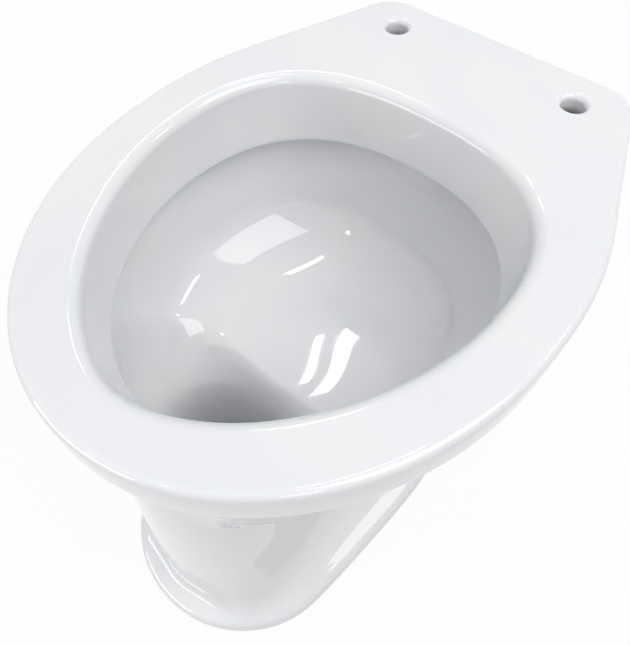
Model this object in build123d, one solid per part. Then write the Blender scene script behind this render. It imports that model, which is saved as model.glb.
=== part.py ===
from build123d import *
import math
import os

os.makedirs("parts", exist_ok=True)

# A floor-standing washout toilet pan in glazed china, with the small fittings that stay in it.
# Millimetres. +Z is up, -Y is the front, and the origin is on the floor under the middle of the rim.

# Rim, seen from above
rim_width = 357.0
rim_length = 461.0
rim_widest_y = -12.0
side_straight = 16.0
side_radius = 274.0
side_turn = 20.6
rear_corner_radius = 32.0

# Rim, in section
rim_height = 395.0
rim_plate = 12.0
outer_skirt_depth = 32.0
inner_skirt_depth = 60.0
outer_skirt_wall = 10.0
inner_skirt_wall = 9.0
outer_rounding = 5.5
mouth_rounding = 10.0

# Mouth at the rim's flat top, and the lower edge of the inner skirt
mouth_half_width = 146.5
mouth_front = -200.0
mouth_rear = 127.0
mouth_widest_y = -8.0
lip_half_width = 130.6
lip_front = -175.4
lip_rear = 116.7
lip_widest_y = -12.0

# Seat hinge holes in the rear deck
hinge_spacing = 161.0
hinge_y = 195.0
hinge_bore_radius = 9.0
hinge_bore_rounding = 5.0
hinge_post_radius = 20.0

# Bowl
china_wall = 10.0
bowl_half_width = 150.0
bowl_front = -205.0
bowl_rear = 132.0
shelf_height = 226.0
shelf_half_width = 52.0
shelf_front = -100.0
shelf_rear = 60.0
flange_thickness = 10.0
flange_inset = 6.0
flange_rear = 165.0
partition_thickness = 10.0
water_slot_width = 80.0
water_slot_length = 10.0

# Sump and trap
sump_floor = 34.0
sump_wall = 9.0
sump_top = 250.0
sump_half_width = 84.0
sump_front = -190.0
sump_rear = -62.0
trap_bore_radius = 36.0
trap_wall = 8.0
trap_mouth_height = 70.0
weir_y = 118.0
weir_height = 192.0
trap_bend_radius = 66.0
trap_end_run = 20.0

# Outlet spigot
outlet_height = 180.0
outlet_radius = 51.0
outlet_bore_radius = 43.0
outlet_end_y = 224.0
outlet_start_y = 182.0
outlet_taper = 12.0

# Flush inlet
inlet_drop = 45.0
inlet_bore_radius = 27.5
inlet_wall = 8.5
inlet_end_y = 221.0
chamber_half_width = 50.0
chamber_rear_y = 176.0
chamber_depth = 81.0
chamber_wall = 8.0
seal_bore_radius = 22.0
seal_length = 40.0
seal_flange_radius = 34.0
seal_flange = 5.0

# Pedestal
column_front = -207.0
column_nose = 67.0
waist_half_width = 56.0
column_rear_half_width = 66.0
column_rear = 166.0
rear_corner = 48.0
foot_front = -226.5
foot_half_width = 110.5
foot_side_half_width = 115.0
foot_rear = 178.0
foot_height = 45.0
foot_edge_height = 10.0
foot_wall = 16.0

# Floor fixings
fixing_x = 92.0
fixing_y = 95.0
fixing_pad_height = 24.0
fixing_pad_radius = 16.0
fixing_hole_radius = 7.0
sleeve_bore_radius = 4.25
sleeve_clearance = 0.2
sleeve_collar_radius = 11.0
sleeve_collar = 3.0
sleeve_floor_gap = 4.0
washer_radius = 10.5
washer_thickness = 1.5
washer_clearance = 0.25
cap_clearance = 0.3
cap_wall = 2.0
cap_dome = 8.0
cap_headroom = 7.0

# Values that follow from the ones above
rim_rear = rim_length / 2
rim_front = -rim_length / 2
rim_underside = rim_height - outer_skirt_depth
plate_underside = rim_height - rim_plate
lip_height = rim_height - inner_skirt_depth
flange_underside = rim_underside - flange_thickness
inlet_height = rim_underside - inlet_drop
chamber_floor = rim_underside - chamber_depth
sides = (("left", -1), ("right", 1))


def quarter(half_width, length, power, count):
    """Superellipse quarter as (across, along) pairs, from its tip to its widest point."""
    points = []
    for step in range(count + 1):
        angle = math.radians(90.0 * step / count)
        across = half_width * math.sin(angle) ** (2 / power)
        along = length * math.cos(angle) ** (2 / power)
        points.append((across, along))
    return points


def egg(half_width, front, rear, widest, front_power=1.9, rear_power=2.3, count=6):
    """Half outline of an egg, from its front tip round the right side to its rear tip."""
    ahead = quarter(half_width, widest - front, front_power, count)
    behind = quarter(half_width, rear - widest, rear_power, count)
    outline = [(across, widest - along) for across, along in ahead]
    outline += [(across, widest + along) for across, along in reversed(behind[:-1])]
    return outline


def slab_outline(front, nose_half, nose_length, waist, rear_half, rear, count=5):
    """Half outline of the pedestal: a round nose, a waist along the sides and a squarer rear."""
    nose_y = front + nose_length
    side = rear - rear_corner - nose_y
    outline = [(x, nose_y - y) for x, y in quarter(nose_half, nose_length, 2.0, count)]
    outline.append((waist, nose_y + side * 0.35))
    outline.append((waist, nose_y + side * 0.65))
    corner = quarter(rear_half, rear_corner, 3.2, count)
    outline += [(x, rear - rear_corner + y) for x, y in reversed(corner)]
    return outline


def mixed(inner, outer, share):
    """Half outline part of the way from the inner one to the outer one."""
    return [
        (a + (c - a) * share, b + (d - b) * share)
        for (a, b), (c, d) in zip(inner, outer)
    ]


def ring_at(half, height):
    """Closed smooth wire through a half outline and its mirror image, at a height."""
    left = [(-x, y) for x, y in reversed(half[1:-1])]
    points = [(x, y, height) for x, y in half + left]
    return Wire([Edge.make_spline(points, periodic=True)])


def lofted(sections, ruled=False):
    """Solid through the outlines given as (height, half outline) pairs."""
    return Solid.make_loft([ring_at(half, height) for height, half in sections], ruled)


def along_y(radius, start, end, height):
    """Round bar along Y."""
    bar = Cylinder(radius, end - start, align=(Align.CENTER, Align.CENTER, Align.MIN))
    return Pos(0, start, height) * Rot(-90, 0, 0) * bar


def upright(radius, bottom, top, x, y):
    """Round bar along Z."""
    bar = Cylinder(radius, top - bottom, align=(Align.CENTER, Align.CENTER, Align.MIN))
    return Pos(x, y, bottom) * bar


def block(x_size, y_from, y_to, z_from, z_to):
    """Box centred on the middle plane."""
    box = Box(x_size, y_to - y_from, z_to - z_from)
    return Pos(0, (y_from + y_to) / 2, (z_from + z_to) / 2) * box


def rim_face(inset=0.0):
    """Plan of the rim: half an ellipse in front, bowed sides, straight flanks and a straight rear."""
    half_width = rim_width / 2 - inset
    turn = math.radians(side_turn)
    side_start = rim_widest_y + side_straight
    bow_x = rim_width / 2 - side_radius
    bow_radius = side_radius - inset
    flank_x = bow_x + bow_radius * math.cos(turn)
    flank_y = side_start + bow_radius * math.sin(turn)
    rear_y = rim_rear - inset
    rear_x = flank_x - (rear_y - flank_y) * math.tan(turn)
    front = EllipticalCenterArc(
        (0, rim_widest_y),
        half_width,
        rim_widest_y - rim_front - inset,
        start_angle=-90,
        arc_size=90,
    )
    straight = Line((half_width, rim_widest_y), (half_width, side_start))
    bow = CenterArc((bow_x, side_start), bow_radius, 0, side_turn)
    rear = FilletPolyline(
        (flank_x, flank_y), (rear_x, rear_y), (0, rear_y), radius=rear_corner_radius - inset
    )
    half = Curve() + [front, straight, bow, rear]
    return make_face(half + mirror(half, Plane.YZ))


def mouth_outline(grow=0.0):
    return egg(
        mouth_half_width + grow,
        mouth_front - grow,
        mouth_rear + grow,
        mouth_widest_y,
        front_power=1.8,
        rear_power=2.5,
    )


def lip_outline(grow=0.0):
    return egg(lip_half_width + grow, lip_front - grow, lip_rear + grow, lip_widest_y)


def skirt_solid(grow, bottom, top):
    """Straight taper through the lip and the throat, carried on to the given heights."""
    lip = lip_outline(grow)
    throat = mouth_outline(grow - mouth_rounding)
    rise = inner_skirt_depth - mouth_rounding
    low = (bottom - lip_height) / rise
    high = (top - lip_height) / rise
    return lofted([(bottom, mixed(lip, throat, low)), (top, mixed(lip, throat, high))], True)


def mouth_rounding_solid():
    """Funnel that rounds the edge between the inner skirt and the rim's flat top."""
    sections = []
    for step in range(5):
        angle = math.radians(22.5 * step)
        height = rim_height - mouth_rounding * (1 - math.sin(angle))
        sections.append((height, mouth_outline(-mouth_rounding * math.cos(angle))))
    return lofted(sections)


def hinge_bars(radius, bottom, top):
    return [upright(radius, bottom, top, side * hinge_spacing / 2, hinge_y) for _, side in sides]


def make_rim_ring():
    """Hollow rim: a flat top with an outer and an inner skirt, and the rear deck with two holes."""
    body = extrude(Pos(0, 0, rim_underside) * rim_face(), amount=outer_skirt_depth)
    body = fillet(body.faces().sort_by(Axis.Z)[-1].edges(), outer_rounding)
    skirt = skirt_solid(inner_skirt_wall, lip_height, plate_underside)
    channel = extrude(
        Pos(0, 0, rim_underside) * rim_face(outer_skirt_wall),
        amount=plate_underside - rim_underside,
    )
    channel -= skirt
    for post in hinge_bars(hinge_post_radius, rim_underside, plate_underside):
        channel -= post
    throat = skirt_solid(0.0, lip_height - 1, rim_height - mouth_rounding)
    ring = body - channel + skirt - throat - mouth_rounding_solid()
    for bore in hinge_bars(hinge_bore_radius, rim_underside - 1, rim_height + 1):
        ring -= bore
    at_top = ring.edges().filter_by(GeomType.CIRCLE)
    at_top = at_top.filter_by_position(Axis.Z, rim_height - 0.01, rim_height + 0.01)
    rounds = [edge for edge in at_top if abs(edge.radius - hinge_bore_radius) < 0.01]
    return fillet(rounds, hinge_bore_rounding)


def bowl_levels():
    """Heights and shares of the full bowl outline, from the rim down to the shelf."""
    shelf_depth = rim_underside - shelf_height
    return [
        (rim_underside + 1, 1.0),
        (rim_underside - shelf_depth * 0.24, 0.985),
        (rim_underside - shelf_depth * 0.46, 0.93),
        (rim_underside - shelf_depth * 0.66, 0.79),
        (rim_underside - shelf_depth * 0.82, 0.54),
        (rim_underside - shelf_depth * 0.94, 0.22),
        (shelf_height, 0.0),
    ]


def bowl_solid(grow, drop):
    """Inside of the bowl as a solid, or its outside when grown and dropped by the wall."""
    full = egg(bowl_half_width + grow, bowl_front - grow, bowl_rear + grow, rim_widest_y)
    shelf = egg(shelf_half_width + grow, shelf_front - grow, shelf_rear + grow, rim_widest_y)
    levels = bowl_levels()
    sections = [(height, mixed(shelf, full, share)) for height, share in levels]
    if drop:
        top = (flange_underside, sections[0][1])
        sections = [top] + [(height - drop, half) for height, half in sections[2:]]
    return lofted(sections)


def sump_solid(grow):
    """Inside of the sump as a solid, or its outside when grown by the wall."""
    depth = sump_top - sump_floor
    shares = (
        (0.0, 1.0, 0.0),
        (0.13, 0.76, 4.0),
        (0.27, 0.62, 9.0),
        (0.45, 0.55, 14.0),
        (0.70, 0.50, 24.0),
        (0.90, 0.42, 40.0),
        (1.0, 0.24, 62.0),
    )
    sections = []
    for down, width, back in shares:
        half_width = sump_half_width * width + grow
        front = sump_front + back - grow
        rear = sump_rear - back * 0.35 + grow
        height = sump_top - depth * down
        if down == 1.0:
            height -= grow
        outline = egg(half_width, front, rear, (front + rear) / 2, 2.0, 2.4)
        sections.append((height, outline))
    return lofted(sections)


def trap_solid(radius):
    """Round bar along the waterway: out of the sump, up to the weir, and back to the outlet."""
    start_y = (sump_front + sump_rear) / 2
    route = FilletPolyline(
        (0, start_y, trap_mouth_height),
        (0, sump_rear + 20, trap_mouth_height),
        (0, weir_y, weir_height),
        (0, outlet_start_y - trap_end_run, outlet_height),
        (0, outlet_start_y, outlet_height),
        radius=trap_bend_radius,
    )
    section = Plane(route @ 0, z_dir=route % 0) * Circle(radius)
    return sweep(section, path=route)


def pedestal_levels(wall):
    """Half outlines of the pedestal from the top of the foot up to the bowl."""
    nose = column_nose
    waist = waist_half_width
    rear_half = column_rear_half_width
    rows = (
        (foot_height, 0, nose, nose, waist, rear_half, 0),
        (120, 0, nose, nose, waist, rear_half, 0),
        (190, 0, nose + 5, nose + 5, waist + 8, rear_half + 5, 6),
        (235, 0, nose + 27, nose + 28, waist + 33, rear_half + 20, 16),
        (270, 0, nose + 58, nose + 62, waist + 68, rear_half + 38, 27),
        (300, 1, nose + 74, nose + 92, waist + 85, rear_half + 46, 37),
    )
    levels = []
    for height, back, nose_half, nose_length, side_half, corner_half, forward in rows:
        outline = slab_outline(
            column_front + back + wall,
            nose_half - wall,
            nose_length - wall,
            side_half - wall,
            corner_half - wall,
            column_rear - forward - wall,
        )
        levels.append((height, outline))
    return levels


def foot_outline(wall):
    return slab_outline(
        foot_front + wall,
        foot_half_width - wall,
        foot_half_width - wall,
        foot_side_half_width - wall,
        foot_side_half_width - 9 - wall,
        foot_rear - wall,
    )


def foot_solid(steps, wall, foot_inset):
    """Solid that flares from the pedestal's outline down to the foot's."""
    column = pedestal_levels(wall)[0][1]
    foot = foot_outline(foot_inset)
    return lofted([(height, mixed(column, foot, share)) for height, share in steps])


def make_pans():
    """The luted china castings. Each one gives way to its neighbours where they meet."""
    bowl_inside = bowl_solid(0.0, 0.0)
    bowl_outside = bowl_solid(china_wall, china_wall)
    sump_inside = sump_solid(0.0)
    sump_outside = sump_solid(sump_wall)
    trap_inside = trap_solid(trap_bore_radius)
    trap_outside = trap_solid(trap_bore_radius + trap_wall)

    front_part = block(rim_width * 2, rim_front * 2, flange_rear, flange_underside, rim_underside)
    flange = extrude(Pos(0, 0, flange_underside) * rim_face(flange_inset), amount=flange_thickness)
    flange = flange & front_part
    partition = extrude(
        Pos(0, 0, rim_underside) * rim_face(outer_skirt_wall), amount=plate_underside - rim_underside
    )
    partition = partition & block(
        rim_width * 2, flange_rear - partition_thickness, flange_rear, rim_underside, plate_underside
    )
    slot_y = flange_rear - partition_thickness
    slot = block(
        water_slot_width, slot_y - water_slot_length, slot_y, flange_underside - 1, rim_underside + 1
    )
    bowl = bowl_outside + flange + partition - bowl_inside - sump_outside - slot

    sump = sump_outside - sump_inside - bowl_inside - trap_inside
    sump = sump.solids().sort_by(SortBy.VOLUME)[-1]
    trap = trap_outside - trap_inside - sump_outside
    trap = trap.solids().sort_by(SortBy.VOLUME)[-1]

    chamber = block(
        chamber_half_width * 2, bowl_rear - 20, chamber_rear_y, chamber_floor, flange_underside
    )
    chamber_outside = chamber
    hollow = block(
        (chamber_half_width - chamber_wall) * 2,
        bowl_rear - 30,
        chamber_rear_y - chamber_wall,
        chamber_floor + chamber_wall,
        flange_underside + 1,
    )
    inlet_hole = along_y(inlet_bore_radius, chamber_rear_y - 20, chamber_rear_y + 20, inlet_height)
    roof = block(
        chamber_half_width * 2,
        flange_rear,
        chamber_rear_y,
        flange_underside - chamber_wall,
        flange_underside,
    )
    chamber = chamber - hollow - bowl_outside - inlet_hole + roof
    chamber = chamber.solids().sort_by(SortBy.VOLUME)[-1]
    inlet = along_y(inlet_bore_radius + inlet_wall, chamber_rear_y, inlet_end_y, inlet_height)
    inlet -= along_y(inlet_bore_radius, chamber_rear_y - 1, inlet_end_y + 1, inlet_height)

    shell = lofted(pedestal_levels(0.0)) - lofted(pedestal_levels(china_wall))
    shell = shell - bowl_outside - sump_outside - trap_outside - chamber_outside
    shell = shell - along_y(outlet_radius, outlet_start_y, outlet_end_y, outlet_height)
    shell = shell - block(rim_width * 2, rim_front * 2, rim_rear * 2, flange_underside, rim_height)
    shell = shell.solids().sort_by(SortBy.VOLUME)[-1]
    return {
        "bowl_basin": bowl,
        "sump_well": sump,
        "trapway": trap,
        "flush_chamber": chamber,
        "flush_inlet": inlet,
        "pedestal_shell": shell,
    }


def make_outlet_spigot():
    """Round spigot that a pan connector pushes over."""
    start_radius = trap_bore_radius + trap_wall
    profile = Polyline(
        (trap_bore_radius, outlet_start_y),
        (start_radius, outlet_start_y),
        (outlet_radius, outlet_start_y + outlet_taper),
        (outlet_radius, outlet_end_y),
        (outlet_bore_radius, outlet_end_y),
        (outlet_bore_radius, outlet_start_y + outlet_taper),
        (trap_bore_radius, outlet_start_y),
    )
    return Pos(0, 0, outlet_height) * revolve(make_face(profile), Axis.Y)


def make_foot_ring():
    """Flared hollow foot with two bored pads for the floor fixings."""
    edge = foot_edge_height
    rise = foot_height - edge
    outer_steps = (
        (0, 1.0),
        (edge, 1.0),
        (edge + rise * 0.17, 0.93),
        (edge + rise * 0.30, 0.76),
        (edge + rise * 0.42, 0.48),
        (edge + rise * 0.60, 0.20),
        (edge + rise * 0.80, 0.05),
        (foot_height, 0.0),
    )
    inner_steps = (
        (-1, 1.0),
        (edge * 0.6, 0.94),
        (edge * 1.1, 0.74),
        (edge * 1.5, 0.40),
        (edge * 2.1, 0.12),
        (edge * 3.0, 0.02),
        (foot_height + 1, 0.0),
    )
    foot = foot_solid(outer_steps, 0.0, 0.0)
    for _, side in sides:
        foot += upright(fixing_pad_radius, 0, fixing_pad_height, side * fixing_x, fixing_y)
    hollow = foot_solid(inner_steps, china_wall, foot_wall)
    for _, side in sides:
        hollow -= upright(fixing_pad_radius, -2, fixing_pad_height, side * fixing_x, fixing_y)
    foot -= hollow
    for _, side in sides:
        above = upright(
            fixing_pad_radius, fixing_pad_height, foot_height, side * fixing_x, fixing_y
        )
        foot -= above
        foot -= upright(fixing_hole_radius, -1, foot_height, side * fixing_x, fixing_y)
    return foot


def make_inlet_seal():
    """Rubber sleeve in the flush inlet, with the bore that a flush pipe pushes into."""
    start = inlet_end_y - seal_length
    end = inlet_end_y + seal_flange
    seal = along_y(inlet_bore_radius, start, inlet_end_y, inlet_height)
    seal += along_y(seal_flange_radius, inlet_end_y, end, inlet_height)
    seal -= along_y(seal_bore_radius, start - 1, end + 1, inlet_height)
    return seal


def make_fixing(side):
    """Nylon sleeve, steel washer and push-on cap of one floor fixing."""
    x = side * fixing_x
    collar_top = fixing_pad_height + sleeve_collar
    washer_top = collar_top + washer_thickness
    barrel_radius = fixing_hole_radius - sleeve_clearance
    sleeve = upright(barrel_radius, sleeve_floor_gap, fixing_pad_height, x, fixing_y)
    sleeve += upright(sleeve_collar_radius, fixing_pad_height, collar_top, x, fixing_y)
    sleeve -= upright(sleeve_bore_radius, 0, collar_top + 1, x, fixing_y)
    washer = upright(washer_radius, collar_top, washer_top, x, fixing_y)
    washer -= upright(sleeve_bore_radius + washer_clearance, collar_top - 1, washer_top + 1, x, fixing_y)

    inner_radius = sleeve_collar_radius + cap_clearance
    outer_radius = inner_radius + cap_wall
    shoulder = washer_top + cap_headroom
    top = shoulder + cap_wall + cap_dome
    half_section = Polyline(
        (0, shoulder),
        (inner_radius, shoulder),
        (inner_radius, fixing_pad_height),
        (outer_radius, fixing_pad_height),
        (outer_radius, shoulder - cap_wall),
    )
    crown = Spline(
        (outer_radius, shoulder - cap_wall),
        (0, top - cap_dome / 2),
        tangents=[(0, 1), (-1, 0)],
    )
    closing = Line((0, top - cap_dome / 2), (0, shoulder))
    cap = revolve(Plane.XZ * make_face(half_section + crown + closing), Axis.Z)
    return sleeve, washer, Pos(x, fixing_y, 0) * cap


def make_nodes():
    nodes = {"rim_ring": make_rim_ring()}
    nodes.update(make_pans())
    nodes["outlet_spigot"] = make_outlet_spigot()
    nodes["foot_ring"] = make_foot_ring()
    nodes["inlet_seal"] = make_inlet_seal()
    for name, side in sides:
        sleeve, washer, cap = make_fixing(side)
        nodes["fixing_sleeve_" + name] = sleeve
        nodes["fixing_washer_" + name] = washer
        nodes["cover_cap_" + name] = cap
    return nodes


for node_name, shape in make_nodes().items():
    export_step(shape, "parts/" + node_name + ".step")
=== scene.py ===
import math

import bmesh
import bpy
import numpy as np
from mathutils import Matrix


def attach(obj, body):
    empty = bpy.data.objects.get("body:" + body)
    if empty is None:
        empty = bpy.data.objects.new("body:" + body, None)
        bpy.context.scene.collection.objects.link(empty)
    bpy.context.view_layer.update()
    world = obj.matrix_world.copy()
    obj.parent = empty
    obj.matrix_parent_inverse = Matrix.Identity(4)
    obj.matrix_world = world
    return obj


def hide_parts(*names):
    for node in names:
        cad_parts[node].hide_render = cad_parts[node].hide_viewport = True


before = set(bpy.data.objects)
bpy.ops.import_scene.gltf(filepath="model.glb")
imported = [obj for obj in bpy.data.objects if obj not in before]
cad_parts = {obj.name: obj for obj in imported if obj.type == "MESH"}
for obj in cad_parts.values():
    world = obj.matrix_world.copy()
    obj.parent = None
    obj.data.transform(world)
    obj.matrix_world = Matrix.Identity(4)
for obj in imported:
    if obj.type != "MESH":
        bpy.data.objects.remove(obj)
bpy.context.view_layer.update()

# All shapes below are written in millimetres and turned into metres when a mesh is made.
MM = 0.001
TURN = 2 * math.pi

# Rim
RIM_WIDTH = 357.0
RIM_LENGTH = 461.0
RIM_TOP = 395.0
JUST_INSIDE = 0.9999
RIM_WIDEST_Y = -12.0
SIDE_STRAIGHT = 16.0
SIDE_RADIUS = 274.0
SIDE_TURN = math.radians(20.6)
CORNER_RADIUS = 32.0
UNDERSIDE = 363.0
PLATE_UNDERSIDE = 383.0
LIP_BOTTOM = 335.0
OUTER_ROUNDING = 5.5
MOUTH_ROUNDING = 10.0
SKIRT_WALL = 9.0
OUTER_WALL = 10.0
HOLE_X = 80.5
HOLE_Y = 195.0
HOLE_RADIUS = 9.0
HOLE_ROUNDING = 5.0
POST_RADIUS = 20.0
PARTITION_Y = 165.0
# Half width, front, rear and widest place, then the powers of the front and the rear
MOUTH = (146.5, -200.0, 127.0, -8.0, 1.8, 2.5)
LIP = (130.6, -175.4, 116.7, -12.0)
# Painted shade darkens the seat holes from this height down, growing over this length
BORE_SHADE_TOP = 386.0
BORE_SHADE_FADE = 9.0

# Bowl
BOWL_CENTRE_Y = -12.0
BOWL = (150.0, -205.0, 132.0, -12.0)
BOWL_OUTSIDE = (155.0, -210.0, 137.0, -12.0)
BOWL_WALL = 2.4
SHELF_Z = 226.0
SHELF_CURVE = 700.0
DISH_FRONT_POWER = 4.5
DISH_WALL_POWER = 2.4
WELL_LIP_ROUNDING = 9.0
# Keeps the well's front from lowering the bowl's edge
EDGE_MARGIN = 12.0
EDGE_SLOPE = 1500.0
# Share of the well's length, from its front, where it is widest
WELL_WIDEST = 0.55

# Pedestal and foot
BODY_CENTRE_Y = -25.0
COLUMN_REAR = 166.0
REAR_CORNER = 48.0
COLUMN_FRONT = -207.0
FOOT = (-226.5, 110.5, 110.5, 115, 106, 178)
FOOT_RISE = 45.0
FOOT_WALL = 16.0
DISH_WALL = 8.0
WELL_WALL = 4.0
SHELL_WALL = 5.0
FLANGE_BOTTOM = 353.0
FLANGE_INSET = 6.0
FIXING_X = 92.0
FIXING_Y = 95.0
PAD_TOP = 24.0
PAD_RADIUS = 16.0

# Waterway
OUTLET_Z = 180.0
INLET_Z = 318.0
TRAP_BORE = 36.0
TRAP_OUTSIDE = 44.0
TRAP_MOUTH_Z = 70.0
TRAP_BEND = 66.0
TRAP_CORNERS = ((-86, 70), (-42, 70), (118, 192), (162, 180), (182, 180))
WELL_MIDDLE_Y = -126.0


# Outlines

def quarter(half_width, length, power, count):
    """Superellipse quarter as (across, along) pairs, from its tip to its widest point."""
    angle = np.linspace(0, math.pi / 2, count + 1)
    across = half_width * np.sin(angle) ** (2 / power)
    along = length * np.maximum(np.cos(angle), 0) ** (2 / power)
    return list(zip(across, along))


def mirrored(half):
    """Closed outline from a half outline that starts and ends on the middle plane."""
    half = np.array(half, float)
    other = half[1:-1][::-1] * (-1, 1)
    return np.concatenate([half, other])


def egg(half_width, front, rear, widest, front_power=1.9, rear_power=2.3, count=300):
    """Closed outline of an egg."""
    ahead = quarter(half_width, widest - front, front_power, count)
    behind = quarter(half_width, rear - widest, rear_power, count)
    half = [(x, widest - y) for x, y in ahead]
    half += [(x, widest + y) for x, y in reversed(behind[:-1])]
    return mirrored(half)


def through(points, count=1200):
    """Dense smooth closed curve through points, spaced by the distance between them."""
    points = np.array(points, float)
    total = len(points)
    steps = np.linalg.norm(np.roll(points, -1, 0) - points, axis=1)
    matrix = np.zeros((total, total))
    wanted = np.zeros((total, 2))
    for i in range(total):
        before, after = steps[i - 1], steps[i]
        matrix[i, i - 1] += 1 / before
        matrix[i, i] += 2 / before + 2 / after
        matrix[i, (i + 1) % total] += 1 / after
        rise = (points[(i + 1) % total] - points[i]) / after ** 2
        wanted[i] = 3 * (rise + (points[i] - points[i - 1]) / before ** 2)
    slopes = np.linalg.solve(matrix, wanted)
    curve = []
    for i in range(total):
        t = np.linspace(0, 1, max(2, count // total), endpoint=False)[:, None]
        j = (i + 1) % total
        curve.append(
            (2 * t ** 3 - 3 * t ** 2 + 1) * points[i]
            + (t ** 3 - 2 * t ** 2 + t) * steps[i] * slopes[i]
            + (3 * t ** 2 - 2 * t ** 3) * points[j]
            + (t ** 3 - t ** 2) * steps[i] * slopes[j]
        )
    return np.concatenate(curve)


def slab(front, nose_half, nose_length, waist, rear_half, rear):
    """Closed outline of the pedestal: a round nose, a waist and a squarer rear."""
    nose_y = front + nose_length
    side = rear - REAR_CORNER - nose_y
    half = [(x, nose_y - y) for x, y in quarter(nose_half, nose_length, 2.0, 5)]
    half.append((waist, nose_y + side * 0.35))
    half.append((waist, nose_y + side * 0.65))
    corner = quarter(rear_half, REAR_CORNER, 3.2, 5)
    half += [(x, rear - REAR_CORNER + y) for x, y in reversed(corner)]
    return through(mirrored(half))


def rim_outline():
    """Closed outline of the rim: half an ellipse, bowed sides, straight flanks and rear."""
    half_width = RIM_WIDTH / 2
    rear_y = RIM_LENGTH / 2
    length = RIM_WIDEST_Y + rear_y
    angle = np.linspace(-math.pi / 2, 0, 400)
    half = [(half_width * math.cos(a), RIM_WIDEST_Y + length * math.sin(a)) for a in angle]
    side_y = RIM_WIDEST_Y + SIDE_STRAIGHT
    half += [(half_width, y) for y in np.linspace(RIM_WIDEST_Y, side_y, 12)[1:]]
    bow_x = half_width - SIDE_RADIUS
    angle = np.linspace(0, SIDE_TURN, 100)[1:]
    half += [(bow_x + SIDE_RADIUS * math.cos(a), side_y + SIDE_RADIUS * math.sin(a)) for a in angle]
    flank_x, flank_y = half[-1]
    centre_y = rear_y - CORNER_RADIUS
    drop = CORNER_RADIUS + math.sin(SIDE_TURN) * (centre_y - flank_y)
    centre_x = flank_x - drop / math.cos(SIDE_TURN)
    angle = np.linspace(SIDE_TURN, math.pi / 2, 90)
    corner = [
        (centre_x + CORNER_RADIUS * math.cos(a), centre_y + CORNER_RADIUS * math.sin(a))
        for a in angle
    ]
    for t in np.linspace(0, 1, 80)[1:-1]:
        half.append((flank_x + (corner[0][0] - flank_x) * t, flank_y + (corner[0][1] - flank_y) * t))
    half += corner
    half += [(x, rear_y) for x in np.linspace(corner[-1][0], 0, 80)[1:]]
    return mirrored(half)


def radii(outline, centre_y, theta):
    """Distance from a centre on the middle plane to an outline, in the directions theta."""
    x = outline[:, 0]
    y = outline[:, 1] - centre_y
    return np.interp(theta, np.arctan2(y, x), np.hypot(x, y), period=TURN)


def around(outline, centre_y, theta):
    reach = radii(outline, centre_y, theta)
    return np.stack([reach * np.cos(theta), centre_y + reach * np.sin(theta)], 1)


def outward(points):
    """Outward unit normals of a closed outline that runs anticlockwise."""
    along = np.roll(points, -1, 0) - np.roll(points, 1, 0)
    normal = np.stack([along[:, 1], -along[:, 0]], 1)
    return normal / np.linalg.norm(normal, axis=1)[:, None]


def smooth_table(x, table_x, table_y):
    """Smooth curve through a table, with slopes that don't overshoot. The values may be arrays."""
    table_x = np.array(table_x, float)
    table_y = np.array(table_y, float)
    steps = np.diff(table_x)
    shape = (-1,) + (1,) * (table_y.ndim - 1)
    rises = np.diff(table_y, axis=0) / steps.reshape(shape)
    slopes = np.zeros_like(table_y)
    slopes[0], slopes[-1] = rises[0], rises[-1]
    product = rises[:-1] * rises[1:]
    total = rises[:-1] + rises[1:]
    safe = np.where(product > 0, total, 1)
    slopes[1:-1] = np.where(product > 0, 2 * product / safe, 0)
    x = np.clip(x, table_x[0], table_x[-1])
    place = np.clip(np.searchsorted(table_x, x, side="right") - 1, 0, len(steps) - 1)
    step = steps[place]
    t = (x - table_x[place]) / step
    if table_y.ndim > 1:
        t = t[:, None]
        step = step[:, None]
    return (
        (2 * t ** 3 - 3 * t ** 2 + 1) * table_y[place]
        + (t ** 3 - 2 * t ** 2 + t) * step * slopes[place]
        + (3 * t ** 2 - 2 * t ** 3) * table_y[place + 1]
        + (t ** 3 - t ** 2) * step * slopes[place + 1]
    )


def soft_max(a, b, reach):
    closeness = np.maximum(reach - np.abs(a - b), 0) / reach
    return np.maximum(a, b) + closeness ** 2 * reach / 4


def soft_min(a, b, reach):
    return -soft_max(-a, -b, reach)


# Meshes

def finish_mesh(obj, sharp=35.0):
    mesh = obj.data
    work = bmesh.new()
    work.from_mesh(mesh)
    bmesh.ops.recalc_face_normals(work, faces=work.faces)
    work.to_mesh(mesh)
    work.free()
    mesh.shade_smooth()
    mesh.set_sharp_from_angle(angle=math.radians(sharp))
    return obj


def mesh_object(name, points, faces):
    mesh = bpy.data.meshes.new(name)
    mesh.from_pydata([tuple(p) for p in np.asarray(points) * MM], [], faces)
    obj = bpy.data.objects.new(name, mesh)
    bpy.context.scene.collection.objects.link(obj)
    return finish_mesh(obj)


def skin(name, rows, closed=False, first=None, last=None):
    """Mesh over rows of points that each run round. Its ends may be joined, open or a single point."""
    rows = np.array(rows, float)
    count, around_count, _ = rows.shape
    points = list(rows.reshape(-1, 3))
    faces = []
    for i in range(count if closed else count - 1):
        low = i * around_count
        high = ((i + 1) % count) * around_count
        for j in range(around_count):
            k = (j + 1) % around_count
            faces.append((low + j, low + k, high + k, high + j))
    for pole, base in ((first, 0), (last, (count - 1) * around_count)):
        if pole is not None:
            points.append(np.array(pole, float))
            tip = len(points) - 1
            faces += [(base + j, base + (j + 1) % around_count, tip) for j in range(around_count)]
    return mesh_object(name, points, faces)


def ring_at(xy, z):
    return np.column_stack([xy, np.full(len(xy), float(z))])


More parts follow.
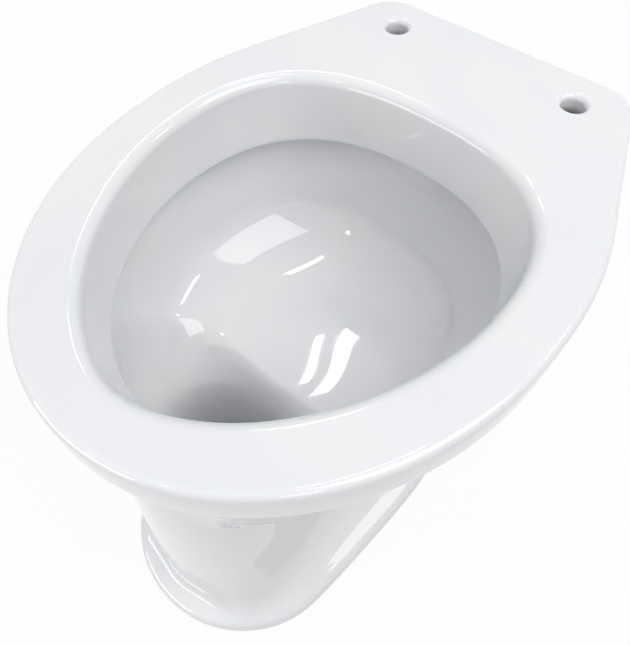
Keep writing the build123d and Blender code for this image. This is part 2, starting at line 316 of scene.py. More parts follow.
def softened(corners, steps=5):
    """Closed profile with each corner (r, z, rounding) rounded."""
    profile = []
    for i, (r, z, rounding) in enumerate(corners):
        here = np.array((r, z), float)
        before = np.array(corners[i - 1][:2], float) - here
        after = np.array(corners[(i + 1) % len(corners)][:2], float) - here
        if rounding <= 0:
            profile.append(here)
            continue
        start = here + before / np.linalg.norm(before) * rounding
        end = here + after / np.linalg.norm(after) * rounding
        for t in np.linspace(0, 1, steps + 1):
            profile.append((1 - t) ** 2 * start + 2 * t * (1 - t) * here + t ** 2 * end)
    return np.array(profile)


def turned(name, corners, place, along="Z", segments=96):
    """Turned part from a closed profile of (r, height, rounding) corners about an axis."""
    profile = softened(corners)
    theta = np.linspace(0, TURN, segments, endpoint=False)
    solid = profile[:, 0].min() < 1e-6
    rows = []
    poles = []
    for r, height in profile:
        if r < 1e-6:
            poles.append(height)
            continue
        rows.append(np.stack([r * np.cos(theta), r * np.sin(theta), np.full(segments, height)], 1))
    ends = [(0, 0, h) for h in poles]
    if solid:
        obj = skin(name, rows, first=ends[0], last=ends[-1])
    else:
        obj = skin(name, rows, closed=True)
    move = Matrix.Translation([v * MM for v in place])
    if along == "Y":
        move = move @ Matrix.Rotation(-math.pi / 2, 4, "X")
    obj.data.transform(move)
    return obj


def cut(obj, tool, operation="DIFFERENCE"):
    """Boolean that leaves a plain mesh behind."""
    change = obj.modifiers.new("cut", "BOOLEAN")
    change.operation = operation
    change.solver = "MANIFOLD"
    change.object = tool
    apply_all(obj)
    bpy.data.objects.remove(tool)
    return finish_mesh(obj)


def apply_all(obj):
    graph = bpy.context.evaluated_depsgraph_get()
    mesh = bpy.data.meshes.new_from_object(obj.evaluated_get(graph))
    obj.modifiers.clear()
    obj.data = mesh
    mesh.name = obj.name


def joined(objects):
    """One object with the meshes of several."""
    work = bmesh.new()
    for obj in objects:
        work.from_mesh(obj.data)
    work.to_mesh(objects[0].data)
    work.free()
    for obj in objects[1:]:
        bpy.data.objects.remove(obj)
    return objects[0]


# Rim

def make_rim():
    theta = np.linspace(-math.pi, math.pi, 900, endpoint=False)
    outer = around(rim_outline() * JUST_INSIDE, BOWL_CENTRE_Y, theta)
    mouth = around(egg(*MOUTH), BOWL_CENTRE_Y, theta)
    lip = around(egg(*LIP), BOWL_CENTRE_Y, theta)
    out_normal = outward(outer)
    mouth_normal = outward(mouth)
    lip_normal = outward(lip)
    throat = mouth - mouth_normal * MOUTH_ROUNDING
    rows = []

    def outside(inset, z):
        rows.append(ring_at(outer - out_normal * inset, z))

    foot = 2.5
    taper = 1.2
    for inset in (OUTER_WALL, 7.0):
        outside(inset, UNDERSIDE)
    for a in np.linspace(0, math.pi / 2, 6):
        outside(taper + foot * (1 - math.sin(a)), UNDERSIDE + foot * (1 - math.cos(a)))
    side_top = RIM_TOP - OUTER_ROUNDING
    for t in np.linspace(0, 1, 9)[1:]:
        z = UNDERSIDE + foot + (side_top - UNDERSIDE - foot) * t
        outside(taper * (1 - t) ** 2, z)
    for a in np.linspace(0, math.pi / 2, 10)[1:]:
        outside(OUTER_ROUNDING * (1 - math.cos(a)), side_top + OUTER_ROUNDING * math.sin(a))
    outside(OUTER_ROUNDING + 0.6, RIM_TOP)
    edge = outer - out_normal * (OUTER_ROUNDING + 0.6)
    near = mouth + mouth_normal * 0.6
    for t in np.linspace(0, 1, 14)[1:]:
        rows.append(ring_at(edge * (1 - t) + near * t, RIM_TOP))
    for a in np.linspace(0, math.pi / 2, 14):
        rows.append(
            ring_at(
                mouth - mouth_normal * MOUTH_ROUNDING * math.sin(a),
                RIM_TOP - MOUTH_ROUNDING * (1 - math.cos(a)),
            )
        )
    edge_radius = SKIRT_WALL / 2
    low = LIP_BOTTOM + edge_radius
    high = RIM_TOP - MOUTH_ROUNDING
    for t in np.linspace(0, 1, 18)[1:]:
        rows.append(ring_at(throat * (1 - t) + lip * t, high + (low - high) * t))
    for a in np.linspace(0, math.pi, 12)[1:]:
        rows.append(
            ring_at(
                lip + lip_normal * edge_radius * (1 - math.cos(a)),
                low - edge_radius * math.sin(a),
            )
        )
    back = (UNDERSIDE - low) / (high - low)
    behind = (lip * (1 - back) + throat * back) + lip_normal * SKIRT_WALL
    for t in np.linspace(0, 1, 8)[1:]:
        ring = (lip + lip_normal * SKIRT_WALL) * (1 - t) + behind * t
        rows.append(ring_at(ring, low + (UNDERSIDE - low) * t))
    inner_edge = outer - out_normal * OUTER_WALL
    for t in np.linspace(0, 1, 8)[1:-1]:
        rows.append(ring_at(behind * (1 - t) + inner_edge * t, UNDERSIDE))
    rim = skin("china_rim", rows, closed=True)

    hollow = [tuple(p) for p in outer - out_normal * OUTER_WALL if p[1] > PARTITION_Y + 2]
    hollow.sort(key=lambda p: math.atan2(p[1] - PARTITION_Y, p[0]))
    levels = [ring_at(np.array(hollow), z) for z in (UNDERSIDE - 5, PLATE_UNDERSIDE)]
    count = len(hollow)
    points = np.concatenate(levels)
    faces = [tuple(range(count)), tuple(range(count, 2 * count))]
    faces += [(i, (i + 1) % count, count + (i + 1) % count, count + i) for i in range(count)]
    cut(rim, mesh_object("hollow", points, faces))

    for x in (-HOLE_X, HOLE_X):
        post = turned(
            "post",
            [(0, UNDERSIDE, 0), (POST_RADIUS, UNDERSIDE, 2), (POST_RADIUS, RIM_TOP - 6, 0),
             (0, RIM_TOP - 6, 0)],
            (x, HOLE_Y, 0),
        )
        cut(rim, post, "UNION")
    for x in (-HOLE_X, HOLE_X):
        flare = HOLE_RADIUS + HOLE_ROUNDING
        arc = [
            (flare - HOLE_ROUNDING * math.sin(a), RIM_TOP - HOLE_ROUNDING * (1 - math.cos(a)), 0)
            for a in np.linspace(0.06, math.pi / 2, 10)
        ]
        profile = [(0, RIM_TOP + 4, 0), (flare + 8, RIM_TOP + 4, 0), (flare + 1.5, RIM_TOP + 0.1, 0)]
        profile += arc + [(HOLE_RADIUS, UNDERSIDE - 4, 0), (0, UNDERSIDE - 4, 0)]
        cut(rim, turned("bore", profile, (x, HOLE_Y, 0)))
    return rim


# Bowl

WELL_LEVELS = (
    # height, half width, front, rear, power of the rear
    (34.0, 14.0, -134.0, -116.0, 2.2),
    (40.0, 30.0, -144.0, -103.0, 2.2),
    (60.0, 41.0, -152.0, -92.0, 2.2),
    (110.0, 49.0, -160.0, -84.0, 2.2),
    (150.0, 52.0, -166.0, -79.0, 2.2),
    (180.0, 55.0, -171.0, -76.0, 2.3),
    (200.0, 59.5, -176.0, -73.0, 2.4),
    (210.0, 64.5, -179.5, -70.0, 2.7),
    (218.0, 71.0, -182.5, -66.5, 3.0),
    (224.0, 76.5, -185.0, -63.0, 3.3),
    (230.0, 82.0, -187.0, -59.0, 3.5),
    (240.0, 90.0, -188.5, -52.0, 3.6),
    (260.0, 101.0, -190.5, -38.0, 3.6),
    (300.0, 115.0, -195.5, 0.0, 3.6),
    (363.0, 138.0, -204.0, 60.0, 3.6),
    (420.0, 170.0, -235.0, 130.0, 3.6),
)


def dish_height(share):
    """Height of the dish where an outline of the bowl is scaled by share."""
    flat = np.maximum(1 - np.clip(share, 0, 1) ** DISH_FRONT_POWER, 0)
    rise = 1 - flat ** (1 / DISH_WALL_POWER)
    return SHELF_Z + (UNDERSIDE - SHELF_Z) * rise


def well_height(x, y):
    """Height of the well's wall at each point: where the shrinking outlines let go of it."""
    table = np.array(WELL_LEVELS)
    heights = np.linspace(table[0, 0], table[-1, 0], 260)
    values = [smooth_table(heights, table[:, 0], table[:, i]) for i in range(1, 5)]
    result = np.full(x.shape, table[0, 0])
    before = None
    for z, half_width, front, rear, power in zip(heights, *values):
        widest = front + (rear - front) * WELL_WIDEST
        ahead = (np.abs(x) / half_width) ** 2 + (np.abs(y - widest) / (widest - front)) ** 2
        behind = (np.abs(x) / half_width) ** power + (np.abs(y - widest) / (rear - widest)) ** power
        outside = np.where(y < widest, ahead, behind) - 1
        if before is not None:
            crossing = (before > 0) & (outside <= 0)
            share = before / np.where(crossing, before - outside, 1)
            result = np.where(crossing, last_z + (z - last_z) * share, result)
        before = outside
        last_z = z
    return np.where(before > 0, table[-1, 0], result)


def make_bowl():
    theta = np.linspace(-math.pi, math.pi, 900, endpoint=False)
    full = around(egg(*BOWL), BOWL_CENTRE_Y, theta)
    middle = np.array((0.0, BOWL_CENTRE_Y))
    fine = np.linspace(0, 1, 20001)
    heights = dish_height(fine)
    travel = np.concatenate([[0], np.cumsum(np.hypot(np.diff(fine) * 150, np.diff(heights)))])
    shares = np.interp(np.linspace(travel[-1], 0, 230)[:-1], travel, fine)
    rows = []
    for share in shares:
        xy = middle + (full - middle) * share
        dish = dish_height(share) + xy[:, 0] ** 2 / SHELF_CURVE * (1 - share) ** 0.5
        edge = UNDERSIDE + EDGE_MARGIN - EDGE_SLOPE * (1 - share)
        well = np.maximum(well_height(xy[:, 0], xy[:, 1]), edge)
        z = soft_min(dish, well, WELL_LIP_ROUNDING)
        rows.append(np.column_stack([xy, z]))
    bowl = skin("china_bowl", rows, last=(0, BOWL_CENTRE_Y, SHELF_Z))
    if bowl.data.polygons[len(bowl.data.polygons) - 1].normal.z < 0:
        bowl.data.flip_normals()
    wall = bowl.modifiers.new("wall", "SOLIDIFY")
    wall.thickness = BOWL_WALL * MM
    wall.offset = -1
    apply_all(bowl)
    finish_mesh(bowl)
    bore = [(0, 0, 0), (TRAP_BORE, 0, 0), (TRAP_BORE, 80, 0), (0, 80, 0)]
    mouth = turned("mouth", bore, (0, WELL_MIDDLE_Y, TRAP_MOUTH_Z), "Y")
    return cut(bowl, mouth)


# Pedestal and foot

COLUMN_ROWS = (
    # height, set back, nose half, nose length, waist, rear half, rear set forward
    (0, 0, 66, 67, 50, 66, 0),
    (45, 0, 66, 67, 50, 66, 0),
    (90, 0, 66, 67, 53, 66, 0),
    (140, 0, 67, 67, 57, 67, 1),
    (190, 0, 67, 67, 61, 71, 6),
    (235, 0, 68, 69, 76, 86, 16),
    (270, 0, 75, 84, 98, 104, 27),
    (300, 0, 98, 120, 120, 112, 37),
    (345, 2, 138, 164, 142, 116, 42),
)

# How far the foot's outline holds on, from the floor up to the column, at the sides and at the nose
FOOT_SHARES = (
    (0, 1.0), (9, 1.0), (13, 0.975), (16.5, 0.92), (19.5, 0.83), (23, 0.72), (28, 0.60),
    (35, 0.48), (45, 0.37), (60, 0.26), (80, 0.165), (100, 0.10), (125, 0.05), (155, 0.015),
    (190, 0.0),
)
NOSE_SHARES = (
    (0, 1.0), (8, 1.0), (11.5, 0.975), (14.5, 0.91), (16.5, 0.80), (18, 0.64), (19.4, 0.44),
    (21, 0.25), (23.5, 0.10), (28, 0.02), (45, 0.0), (190, 0.0),
)
HOLLOW_SHARES = (
    (0, 1.0), (6, 0.94), (11, 0.74), (15, 0.40), (21, 0.12), (30, 0.02), (45, 0.0),
)


def column_reach(z, theta, inset=0.0):
    table = []
    for _, back, nose, length, waist, corner, forward in COLUMN_ROWS:
        outline = slab(COLUMN_FRONT + back + inset, nose - inset, length - inset, waist - inset,
                       corner - inset, COLUMN_REAR - forward - inset)
        table.append(radii(outline, BODY_CENTRE_Y, theta))
    return smooth_table(z, [row[0] for row in COLUMN_ROWS], table)


def foot_outline(inset=0.0):
    front, nose, length, waist, corner, rear = FOOT
    return slab(front + inset, nose - inset, length - inset, waist - inset, corner - inset,
                rear - inset)


def shell_reach(z, theta):
    """Distance from the pedestal's middle to the outside of the column, bowl and well together."""
    reach = column_reach(z, theta)
    full = radii(egg(*BOWL_OUTSIDE), BOWL_CENTRE_Y, theta)
    full_xy = np.stack([full * np.cos(theta), BOWL_CENTRE_Y + full * np.sin(theta)], 1)
    centre = np.array((0, BOWL_CENTRE_Y))
    fine = np.linspace(0, 1, 2001)
    shares = np.interp(z + DISH_WALL, dish_height(fine), fine)
    dish = np.zeros_like(reach)
    for i in np.flatnonzero(shares > 0.25):
        dish[i] = radii(centre + (full_xy - centre) * shares[i], BODY_CENTRE_Y, theta)
    table = np.array(WELL_LEVELS)
    well = np.zeros_like(reach)
    for i in np.flatnonzero(z > 120):
        above = np.array([z[i] + 6])
        sizes = [smooth_table(above, table[:, 0], table[:, k])[0] for k in (1, 2, 3)]
        half_width, front, rear = map(float, sizes)
        widest = front + (rear - front) * WELL_WIDEST
        outline = egg(half_width + WELL_WALL, front - WELL_WALL, max(rear + WELL_WALL, -10),
                      widest, 2.0, 2.4, 80)
        well[i] = radii(outline, BODY_CENTRE_Y, theta)
    joined_reach = soft_max(well, dish, 10.0)
    # Column and bowl blend over 4 mm low down and over 8 mm near the rim
    softness = (4 + 4 * np.clip((z - 215) / 40, 0, 1))[:, None]
    return np.where(joined_reach > 0, soft_max(reach, joined_reach, softness), reach)


def body_reach(z, theta):
    """Distance from the pedestal's middle to its outside, with the foot and the flange."""
    reach = shell_reach(z, theta)
    foot = radii(foot_outline(), BODY_CENTRE_Y, theta)
    # The foot's fillet is tight at the nose and broad from 24 degrees off it
    off_nose = np.abs(np.degrees(theta) + 90)
    sideways = np.clip((np.minimum(off_nose, 360 - off_nose) - 5) / 19, 0, 1)
    sideways = sideways ** 2 * (3 - 2 * sideways)
    at_side = smooth_table(z, *zip(*FOOT_SHARES))[:, None]
    at_nose = smooth_table(z, *zip(*NOSE_SHARES))[:, None]
    share = at_nose + (at_side - at_nose) * sideways
    reach = reach + (foot - column_reach(np.array([FOOT_RISE]), theta)) * share
    reach -= (3 - np.sqrt(np.maximum(9 - np.maximum(3 - z, 0) ** 2, 0)))[:, None]
    flange = radii(rim_outline(), BODY_CENTRE_Y, theta) - FLANGE_INSET
    rise = np.maximum(np.sin(theta), 0.05)
    clip = np.where(np.sin(theta) > 0.05, (PARTITION_Y - BODY_CENTRE_Y) / rise, 1e4)
    flange = soft_min(flange, clip, 8.0)
    start = FLANGE_BOTTOM - 14
    t = np.clip((z - start) / (FLANGE_BOTTOM - start), 0, 1)
    share = (1 - np.sqrt(1 - t ** 2))[:, None]
    return reach + (np.maximum(flange, reach) - reach) * share


def spread(z, theta, count):
    """Heights that follow the outside with even steps, also where it runs nearly level."""
    reach = body_reach(z, theta)
    run = np.abs(np.diff(reach, axis=0)).max(1)
    travel = np.concatenate([[0], np.cumsum(np.hypot(np.diff(z), run))])
    return np.interp(np.linspace(0, travel[-1], count), travel, z)


def make_body():
    theta = np.linspace(-math.pi, math.pi, 640, endpoint=False)
    few = np.linspace(-math.pi, math.pi, 24, endpoint=False)
    z = spread(np.linspace(0, UNDERSIDE - 0.2, 1500), few, 330)
    directions = np.stack([np.cos(theta), np.sin(theta)], 1)
    middle = np.array((0.0, BODY_CENTRE_Y))

    def ring(reach, height):
        return ring_at(middle + directions * reach[:, None], height)

    rows = []
    inside_z = np.linspace(UNDERSIDE - 0.2, FOOT_RISE + 1, 70)
    for height, reach in zip(inside_z, shell_reach(inside_z, theta) - SHELL_WALL):
        rows.append(ring(reach, height))
    hollow_z = np.linspace(FOOT_RISE, 0, 40)
    column = column_reach(np.array([FOOT_RISE]), theta)[0] - SHELL_WALL
    foot = radii(foot_outline(FOOT_WALL), BODY_CENTRE_Y, theta)
    for height, share in zip(hollow_z, smooth_table(hollow_z, *zip(*HOLLOW_SHARES))):
        rows.append(ring(column + (foot - column) * share, height))
    for height, reach in zip(z, body_reach(z, theta)):
        rows.append(ring(reach, height))
    body = skin("china_body", rows, closed=True)
    tools = []
    for x in (-FIXING_X, FIXING_X):
        profile = [(0, -2, 0), (7, -2, 0), (7, PAD_TOP - 0.1, 0), (PAD_RADIUS, PAD_TOP - 0.1, 0),
                   (PAD_RADIUS + 10, 150, 0), (0, 150, 0)]
        tools.append(turned("spot", profile, (x, FIXING_Y, 0)))
    return cut(body, joined(tools))


# Waterway

def bent_route():
    """Middle line of the trap with round bends, as (y, z) points."""
    corners = np.array(TRAP_CORNERS, float)
    route = [corners[0]]
    for i in range(1, len(corners) - 1):
        here = corners[i]
        before = corners[i - 1] - here
        after = corners[i + 1] - here
        before /= np.linalg.norm(before)
        after /= np.linalg.norm(after)
        half = math.acos(np.clip(before @ after, -1, 1)) / 2
        reach = TRAP_BEND / math.tan(half)
        start, end = here + before * reach, here + after * reach
        for t in np.linspace(0, 1, 14):
            route.append((1 - t) ** 2 * start + 2 * t * (1 - t) * here + t ** 2 * end)
    route.append(corners[-1])
    return np.array(route)


def make_trap():
    route = bent_route()
    along = np.gradient(route, axis=0)
    along /= np.linalg.norm(along, axis=1)[:, None]
    theta = np.linspace(0, TURN, 72, endpoint=False)
    rows = []

    def ring(i, radius):
        up = np.array((-along[i][1], along[i][0]))
        yz = route[i] + np.outer(np.sin(theta) * radius, up)
        return np.column_stack([np.cos(theta) * radius, yz])

    for i in range(len(route)):
        rows.append(ring(i, TRAP_OUTSIDE))
    for i in reversed(range(len(route))):
        rows.append(ring(i, TRAP_BORE))
    return skin("china_trap", rows, closed=True)


def make_box(name, low, high, rounding):
    bpy.ops.mesh.primitive_cube_add(size=1)
    obj = bpy.context.object
    obj.name = name
    size = [(b - a) * MM for a, b in zip(low, high)]
    place = [(a + b) / 2 * MM for a, b in zip(low, high)]
    obj.data.transform(Matrix.Translation(place) @ Matrix.Diagonal(size + [1]))
    bevel = obj.modifiers.new("round", "BEVEL")
    bevel.width = rounding * MM
    bevel.segments = 6
    apply_all(obj)
    return finish_mesh(obj, 60)


def make_waterway():
    spigot = turned(
        "china_spigot",
        [(36, 182, 0), (44, 180, 0), (51, 194, 4), (51, 224, 2.5), (43, 224, 2.5), (43, 194, 4)],
        (0, 0, OUTLET_Z), "Y", 128,
    )
    inlet = turned(
        "china_inlet",
        [(27.5, 168, 0), (38, 168, 0), (36, 178, 3), (36, 221, 2.5), (27.5, 221, 1.5)],
        (0, 0, INLET_Z), "Y", 128,
    )
    chamber = make_box("china_chamber", (-50, 128, 282), (50, 176, 352.9), 9)
    return {"outlet_spigot": spigot, "flush_inlet": inlet, "flush_chamber": chamber}


# Fittings

def make_seal():
    ribs = [(34, 221, 1.2), (34, 226, 1.6), (29, 226, 1), (27.5, 224.6, 0.5), (24.5, 224.6, 0.5),
            (23, 226, 0.8), (22, 226, 0.8)]
    for i in range(4):
        y = 217 - 8 * i
        ribs += [(22, y, 0.4), (21.2, y - 1.2, 0.5), (22, y - 2.4, 0.4)]
    ribs += [(22, 181, 0.5), (27.3, 181, 0.5), (27.3, 221, 0)]
    return turned("rubber_seal", ribs, (0, 0, INLET_Z), "Y", 128)


def make_fittings(side_name, x):
    sleeve = turned(
        "nylon_sleeve_" + side_name,
        [(4.25, 4, 0.4), (6.8, 4, 0.8), (6.8, PAD_TOP, 0), (11, PAD_TOP, 0.4), (11, 27, 0.6),
         (4.25, 27, 0.3)],
        (x, FIXING_Y, 0),
    )
    washer = turned(
        "steel_washer_" + side_name,
        [(4.5, 27, 0.2), (10.5, 27, 0.2), (10.5, 28.5, 0.4), (4.5, 28.5, 0.4)],
        (x, FIXING_Y, 0),
    )
    cap = turned(
        "plastic_cap_" + side_name,
        [(0, 35.5, 0), (11.3, 35.5, 1), (11.3, 24, 0.3), (13.3, 24, 0.3), (13.3, 25.6, 0.2),
         (12.9, 26.2, 0.2), (12.9, 36.5, 4), (9.0, 40.6, 3), (0, 41.5, 0)],
        (x, FIXING_Y, 0),
    )
    pad = turned(
        "china_pad_" + side_name,
        [(7, 0, 0.6), (PAD_RADIUS, 0, 0.6), (PAD_RADIUS, PAD_TOP, 0.4), (7, PAD_TOP, 0.8)],
        (x, FIXING_Y, 0),
    )
    return sleeve, washer, cap, pad


# Materials

# Sockets of a colour mix node, whose names it shares with other kinds of mix
MIX_A, MIX_B, MIX_RESULT = 6, 7, 2
# Share of the floor's look that is its own glow
FLOOR_GLOW = 0.93


def new_material(name):
    material = bpy.data.materials.new(name)
    material.use_nodes = True
    nodes = material.node_tree.nodes
    return material, nodes, material.node_tree.links, nodes["Principled BSDF"]


def noise(nodes, links, scale, detail=2.0, roughness=0.5):
    place = nodes.new("ShaderNodeTexCoord")
    texture = nodes.new("ShaderNodeTexNoise")
    texture.inputs["Scale"].default_value = scale
    texture.inputs["Detail"].default_value = detail
    texture.inputs["Roughness"].default_value = roughness
    links.new(place.outputs["Object"], texture.inputs["Vector"])
    return texture.outputs["Fac"]


def spread_colour(nodes, links, factor, low, high, start=0.35, end=0.65):
    ramp = nodes.new("ShaderNodeValToRGB")
    ramp.color_ramp.elements[0].position = start
    ramp.color_ramp.elements[0].color = (*low, 1)
    ramp.color_ramp.elements[1].position = end
    ramp.color_ramp.elements[1].color = (*high, 1)
    links.new(factor, ramp.inputs["Fac"])
    return ramp.outputs["Color"]


def spread_value(nodes, links, factor, low, high):
    span = nodes.new("ShaderNodeMapRange")
    span.inputs["From Min"].default_value = 0.3
    span.inputs["From Max"].default_value = 0.7
    span.inputs["To Min"].default_value = low
    span.inputs["To Max"].default_value = high
    links.new(factor, span.inputs["Value"])
    return span.outputs["Result"]


def bump(nodes, links, shader, height, strength, distance):
    relief = nodes.new("ShaderNodeBump")
    relief.inputs["Strength"].default_value = strength
    relief.inputs["Distance"].default_value = distance
    links.new(height, relief.inputs["Height"])
    links.new(relief.outputs["Normal"], shader.inputs["Normal"])


def grained(name, scale, detail, dark, pale, smooth, rough):
    """Material whose colour and roughness vary a little with a grain."""
    material, nodes, links, shader = new_material(name)
    grain = noise(nodes, links, scale, detail)
    links.new(spread_colour(nodes, links, grain, dark, pale), shader.inputs["Base Color"])
    links.new(spread_value(nodes, links, grain, smooth, rough), shader.inputs["Roughness"])
    return material, nodes, links, shader, grain


def worked(nodes, links, operation, *values):
    """Result of a math node on numbers and sockets."""
    node = nodes.new("ShaderNodeMath")
    node.operation = operation
    for socket, value in zip(node.inputs, values):
        if isinstance(value, (int, float)):
            socket.default_value = value
        else:
            links.new(value, socket)
    return node.outputs["Value"]


def painted_bore_shade(nodes, links):
    """1 deep in the seat holes, where shade is painted onto the bore, and 0 elsewhere."""
    here = nodes.new("ShaderNodeTexCoord")
    parts = nodes.new("ShaderNodeSeparateXYZ")
    links.new(here.outputs["Object"], parts.inputs["Vector"])
    across = worked(nodes, links, "ABSOLUTE", parts.outputs["X"])
    across = worked(nodes, links, "SUBTRACT", across, HOLE_X * MM)
    along = worked(nodes, links, "SUBTRACT", parts.outputs["Y"], HOLE_Y * MM)
    squares = [worked(nodes, links, "MULTIPLY", side, side) for side in (across, along)]
    away = worked(nodes, links, "SQRT", worked(nodes, links, "ADD", *squares))
    inside = worked(nodes, links, "LESS_THAN", away, (HOLE_RADIUS + 0.6) * MM)
    depth = worked(nodes, links, "SUBTRACT", BORE_SHADE_TOP * MM, parts.outputs["Z"])
    fade = nodes.new("ShaderNodeMapRange")
    fade.inputs["From Max"].default_value = BORE_SHADE_FADE * MM
    links.new(depth, fade.inputs["Value"])
    return worked(nodes, links, "MULTIPLY", inside, fade.outputs["Result"])


def glaze():
    material, nodes, links, shader = new_material("white_glaze")
    wide = noise(nodes, links, 9.0)
    white = spread_colour(nodes, links, wide, (0.775, 0.782, 0.795), (0.805, 0.808, 0.812))
    mix = nodes.new("ShaderNodeMix")
    mix.data_type = "RGBA"
    links.new(painted_bore_shade(nodes, links), mix.inputs["Factor"])
    links.new(white, mix.inputs[MIX_A])
    # Near-black painted shade deep in the seat holes, where little light reaches
    mix.inputs[MIX_B].default_value = (0.10, 0.097, 0.09, 1)
    links.new(mix.outputs[MIX_RESULT], shader.inputs["Base Color"])
    polish = spread_value(nodes, links, noise(nodes, links, 40.0), 0.03, 0.055)
    links.new(polish, shader.inputs["Roughness"])
    shader.inputs["IOR"].default_value = 1.52
    shader.inputs["Coat Weight"].default_value = 0.5
    shader.inputs["Coat Roughness"].default_value = 0.02
    bump(nodes, links, shader, noise(nodes, links, 14.0, 1.0), 0.02, 0.002)
    return material


def rubber():
    material, nodes, links, shader, grain = grained(
        "black_rubber", 260.0, 4.0, (0.035, 0.035, 0.037), (0.06, 0.06, 0.062), 0.5, 0.68
    )
    bump(nodes, links, shader, grain, 0.25, 0.0003)
    return material


def nylon():
    return grained(
        "natural_nylon", 120.0, 3.0, (0.74, 0.72, 0.66), (0.80, 0.79, 0.74), 0.35, 0.45
    )[0]


def steel():
    material, _, _, shader, _ = grained(
        "washer_steel", 500.0, 4.0, (0.50, 0.50, 0.49), (0.62, 0.62, 0.61), 0.25, 0.4
    )
    shader.inputs["Metallic"].default_value = 1.0
    return material


def cap_plastic():
    return grained(
        "cap_plastic", 60.0, 2.0, (0.78, 0.78, 0.78), (0.81, 0.81, 0.805), 0.16, 0.22
    )[0]


def background_rays(nodes, links):
    """1 for the rays that show the pale background, and 0 for the ones that light the part."""
    path = nodes.new("ShaderNodeLightPath")
    glossy, through_glass = path.outputs["Is Glossy Ray"], path.outputs["Is Transmission Ray"]
    indirect = worked(nodes, links, "MAXIMUM", glossy, through_glass)
    return worked(nodes, links, "MAXIMUM", path.outputs["Is Camera Ray"], indirect)


def floor_material():
    material, nodes, links, shader = new_material("pale_floor")
    shown = background_rays(nodes, links)
    tone = noise(nodes, links, 3.0)
    seen = spread_colour(nodes, links, tone, (0.95, 0.95, 0.95), (0.97, 0.97, 0.97))
    shade = nodes.new("ShaderNodeMix")
    shade.data_type = "RGBA"
    shade.inputs[MIX_A].default_value = (0.38, 0.38, 0.385, 1)
    links.new(shown, shade.inputs["Factor"])
    links.new(seen, shade.inputs[MIX_B])
    links.new(shade.outputs[MIX_RESULT], shader.inputs["Base Color"])
    shader.inputs["Roughness"].default_value = 0.9
    glow = nodes.new("ShaderNodeEmission")
    glow.inputs["Color"].default_value = (0.99, 0.99, 0.99, 1)
    share = worked(nodes, links, "MULTIPLY", shown, FLOOR_GLOW)
    mix = nodes.new("ShaderNodeMixShader")
    links.new(share, mix.inputs["Fac"])
    links.new(shader.outputs["BSDF"], mix.inputs[1])
    links.new(glow.outputs["Emission"], mix.inputs[2])
    links.new(mix.outputs["Shader"], nodes["Material Output"].inputs["Surface"])
    return material


# Building the part

def place(obj, body, slot, material, *nodes):
    obj.data.materials.clear()
    obj.data.materials.append(material)
    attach(obj, body)
    if nodes:
        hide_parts(*nodes)
    return obj


china = glaze()
place(make_rim(), "pan", "glazed_china", china, "rim_ring")
place(make_bowl(), "pan", "glazed_china", china, "bowl_basin", "sump_well")
place(make_body(), "pan", "glazed_china", china, "pedestal_shell", "foot_ring")
place(make_trap(), "pan", "glazed_china", china, "trapway")
for node, piece in make_waterway().items():
    place(piece, "pan", "glazed_china", china, node)
place(make_seal(), "pan", "black_rubber", rubber(), "inlet_seal")
nylon_look, steel_look, cap_look = nylon(), steel(), cap_plastic()
for side_name, x in (("left", -FIXING_X), ("right", FIXING_X)):
    sleeve, washer, cap, pad = make_fittings(side_name, x)
    place(sleeve, "pan", "natural_nylon", nylon_look, "fixing_sleeve_" + side_name)
    place(washer, "pan", "washer_steel", steel_look, "fixing_washer_" + side_name)
    place(cap, "cap_" + side_name, "cap_plastic", cap_look, "cover_cap_" + side_name)
    place(pad, "pan", "glazed_china", china)


# Floor, light and camera

def make_floor():
    size = 30.0
    mesh = bpy.data.meshes.new("floor")
    mesh.from_pydata(
        [(-size, -size, 0), (size, -size, 0), (size, size, 0), (-size, size, 0)], [], [(0, 1, 2, 3)]
    )
    floor = bpy.data.objects.new("floor", mesh)
    bpy.context.scene.collection.objects.link(floor)
    mesh.materials.append(floor_material())


def make_world():
    world = bpy.data.worlds.new("studio")
    bpy.context.scene.world = world
    world.use_nodes = True
    nodes = world.node_tree.nodes
    links = world.node_tree.links
    soft = nodes["Background"]
    soft.inputs["Strength"].default_value = 1.0
    direction = nodes.new("ShaderNodeTexCoord")
    parts = nodes.new("ShaderNodeSeparateXYZ")
    ramp = nodes.new("ShaderNodeValToRGB")
    stops = ((0.0, 0.16), (0.15, 0.20), (0.45, 0.50), (0.8, 0.93))
    while len(ramp.color_ramp.elements) < len(stops):
        ramp.color_ramp.elements.new(0.5)
    for element, (position, level) in zip(ramp.color_ramp.elements, stops):
        element.position = position
        element.color = (level * 0.975, level * 0.99, level * 1.01, 1)
    links.new(direction.outputs["Generated"], parts.inputs["Vector"])
    links.new(parts.outputs["Z"], ramp.inputs["Fac"])
    links.new(ramp.outputs["Color"], soft.inputs["Color"])
    seen = nodes.new("ShaderNodeBackground")
    seen.inputs["Color"].default_value = (0.99, 0.99, 0.99, 1)
    seen.inputs["Strength"].default_value = 1.0
    mix = nodes.new("ShaderNodeMixShader")
    links.new(background_rays(nodes, links), mix.inputs["Fac"])
    links.new(soft.outputs["Background"], mix.inputs[1])
    links.new(seen.outputs["Background"], mix.inputs[2])
    links.new(mix.outputs["Shader"], nodes["World Output"].inputs["Surface"])


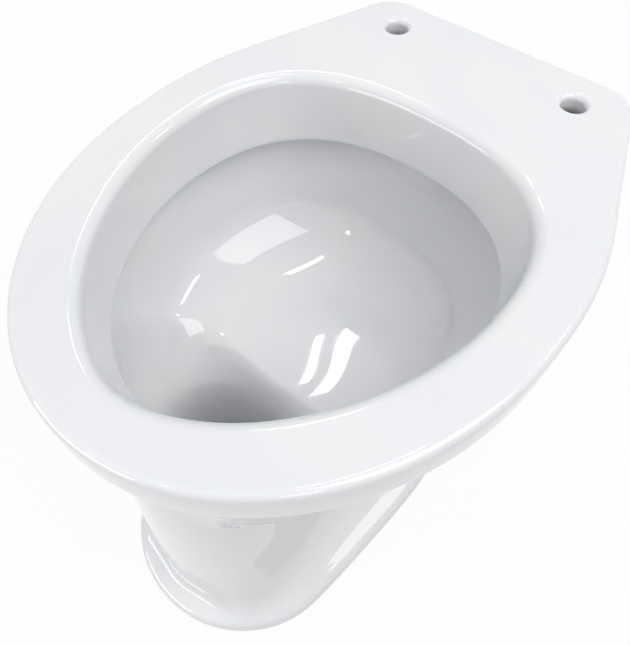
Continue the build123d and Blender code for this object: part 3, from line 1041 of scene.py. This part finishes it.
def lamp(name, place_at, look_at, size, power, colour=(1, 1, 1)):
    """Rectangular lamp that shines from one point towards another."""
    data = bpy.data.lights.new(name, "AREA")
    data.shape = "RECTANGLE"
    data.size, data.size_y = size
    data.energy = power
    data.color = colour
    obj = bpy.data.objects.new(name, data)
    bpy.context.scene.collection.objects.link(obj)
    start = np.array(place_at, float)
    back = start - np.array(look_at, float)
    back /= np.linalg.norm(back)
    side = np.cross((0, 0, 1), back)
    side /= np.linalg.norm(side)
    up = np.cross(back, side)
    obj.matrix_world = Matrix([
        [side[0], up[0], back[0], start[0]],
        [side[1], up[1], back[1], start[1]],
        [side[2], up[2], back[2], start[2]],
        [0, 0, 0, 1],
    ])
    return obj


LAMP_AIM = np.array((0.0, 0.0, 0.25))
LAMP_DISTANCE = 2.5
# Name, direction seen from the bowl (0 is +Y, 90 is +X), height in degrees, size and power
LAMPS = (
    ("window_a", -43, 56.3, (0.24, 0.045), 0.45),
    ("window_b", -44.5, 53, (0.30, 0.085), 1.0),
    ("window_c", 128, 25, (0.50, 0.15), 3),
    ("window_d", 176, 48, (0.10, 0.22), 0.8),
    ("window_e", 44, 39.3, (0.34, 0.12), 1.4),
    ("window_f", -9, 78, (0.07, 0.85), 1.8),
    ("right_soft", 84, 54, (1.8, 1.4), 20),
    ("front_soft", -160, 8, (2.0, 0.8), 18),
)


def make_camera():
    azimuth, elevation, roll = math.radians(46.0680), math.radians(54.1215), math.radians(-4.5529)
    back = np.array((
        math.sin(azimuth) * math.cos(elevation),
        -math.cos(azimuth) * math.cos(elevation),
        math.sin(elevation),
    ))
    right = np.cross((0, 0, 1), back)
    right /= np.linalg.norm(right)
    up = np.cross(back, right)
    c, s = math.cos(roll), math.sin(roll)
    across = c * right + s * up
    upward = -s * right + c * up
    data = bpy.data.cameras.new("photo_view")
    data.sensor_width = 36.0
    data.lens = 38.9085
    data.shift_x = 0.083213
    data.shift_y = -0.026575
    data.clip_start = 0.01
    camera = bpy.data.objects.new("photo_view", data)
    bpy.context.scene.collection.objects.link(camera)
    camera.matrix_world = Matrix([
        [across[0], upward[0], back[0], 0.2073246],
        [across[1], upward[1], back[1], -0.2670322],
        [across[2], upward[2], back[2], 0.7391832],
        [0, 0, 0, 1],
    ])
    bpy.context.scene.camera = camera


make_floor()
make_world()
for name, azimuth, elevation, size, power in LAMPS:
    turn, rise = math.radians(azimuth), math.radians(elevation)
    towards = np.array((math.sin(turn) * math.cos(rise), math.cos(turn) * math.cos(rise), math.sin(rise)))
    lamp(name, towards * LAMP_DISTANCE + LAMP_AIM, LAMP_AIM, size, power)
make_camera()
bpy.context.scene.view_settings.view_transform = "Standard"
